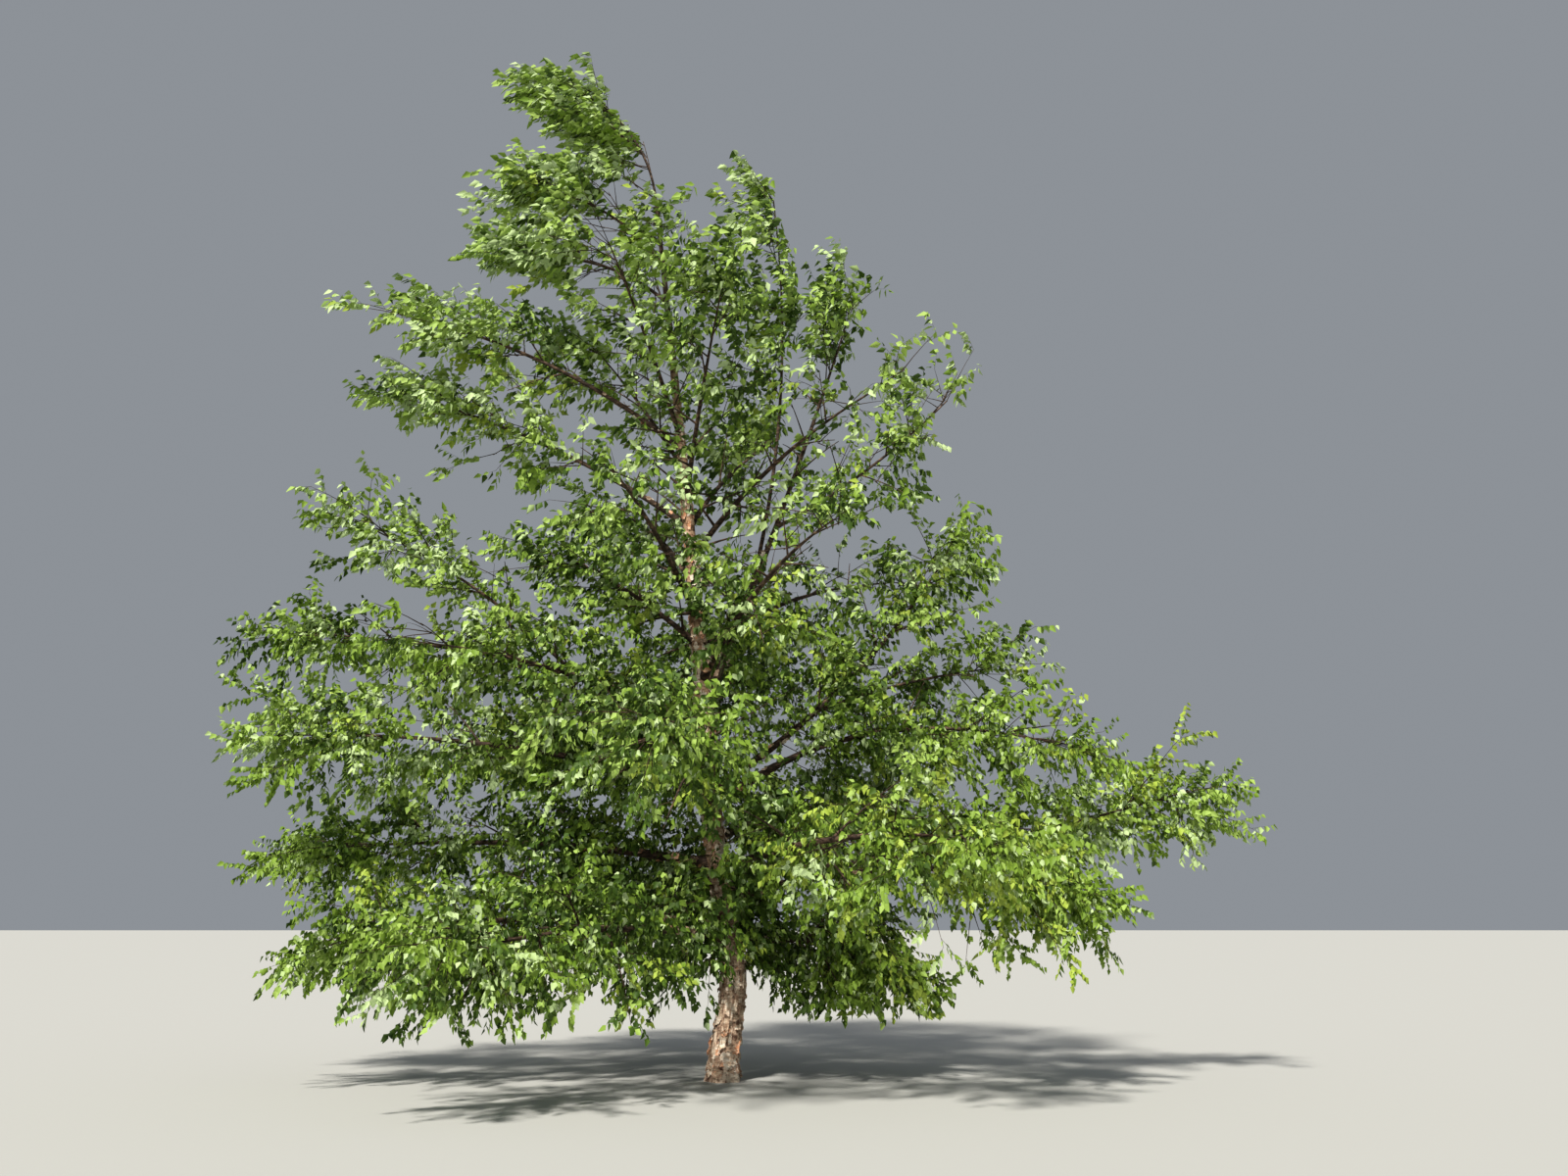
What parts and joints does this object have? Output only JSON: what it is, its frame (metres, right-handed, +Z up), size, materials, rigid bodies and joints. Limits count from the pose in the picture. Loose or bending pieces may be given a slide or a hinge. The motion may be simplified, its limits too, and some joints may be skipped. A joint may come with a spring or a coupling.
{
  "type": "river birch tree",
  "caption": "Young river birch in full leaf: leaning single trunk with peeling bark, boughs on all sides and a broad crown of foliage masses.",
  "frame": {"origin": "centre of the flat cut under the trunk, at ground level", "axes": "+Z up the tree, +X to the right of the picture, +Y away from its viewer"},
  "size_m": [10.6971, 8.7638, 11.0723],
  "materials": {
    "trunk_bark": "rough bark that peels in papery salmon, cream and grey-brown curls",
    "bough_bark": "thinner bark, salmon to dark reddish brown",
    "leaves": "leafy twigs: glossy green leaves with paler undersides"
  },
  "bodies": {
    "root": {"bough_back_1": "bough_bark", "bough_back_2": "bough_bark", "bough_back_3": "bough_bark", "bough_back_4": "bough_bark", "bough_front_1": "bough_bark", "bough_front_2": "bough_bark", "bough_front_3": "bough_bark", "bough_front_4": "bough_bark", "bough_front_5": "bough_bark", "bough_left_crest": "bough_bark", "bough_left_long": "bough_bark", "bough_left_low": "bough_bark", "bough_left_shelf": "bough_bark", "bough_left_skirt": "bough_bark", "bough_left_tip": "bough_bark", "bough_right_fan": "bough_bark", "bough_right_leader": "bough_bark", "bough_right_long": "bough_bark", "bough_right_low": "bough_bark", "bough_right_rising": "bough_bark", "bough_right_skirt": "bough_bark", "bough_right_upper": "bough_bark", "foliage_back_1": "leaves", "foliage_back_2": "leaves", "foliage_back_3": "leaves", "foliage_back_4": "leaves", "foliage_back_5": "leaves", "foliage_back_6": "leaves", "foliage_back_7": "leaves", "foliage_back_8": "leaves", "foliage_front_1": "leaves", "foliage_front_2": "leaves", "foliage_front_3": "leaves", "foliage_front_4": "leaves", "foliage_front_5": "leaves", "foliage_front_6": "leaves", "foliage_front_7": "leaves", "foliage_front_8": "leaves", "foliage_front_9": "leaves", "foliage_left_crest": "leaves", "foliage_left_high": "leaves", "foliage_left_inner": "leaves", "foliage_left_long": "leaves", "foliage_left_low": "leaves", "foliage_left_rising": "leaves", "foliage_left_shelf": "leaves", "foliage_left_shoulder": "leaves", "foliage_left_skirt": "leaves", "foliage_left_tip": "leaves", "foliage_right_fan": "leaves", "foliage_right_fork": "leaves", "foliage_right_leader": "leaves", "foliage_right_long": "leaves", "foliage_right_low": "leaves", "foliage_right_peak": "leaves", "foliage_right_rising": "leaves", "foliage_right_skirt": "leaves", "foliage_right_upper": "leaves", "foliage_top": "leaves", "trunk": "trunk_bark"}
  },
  "joints": []
}
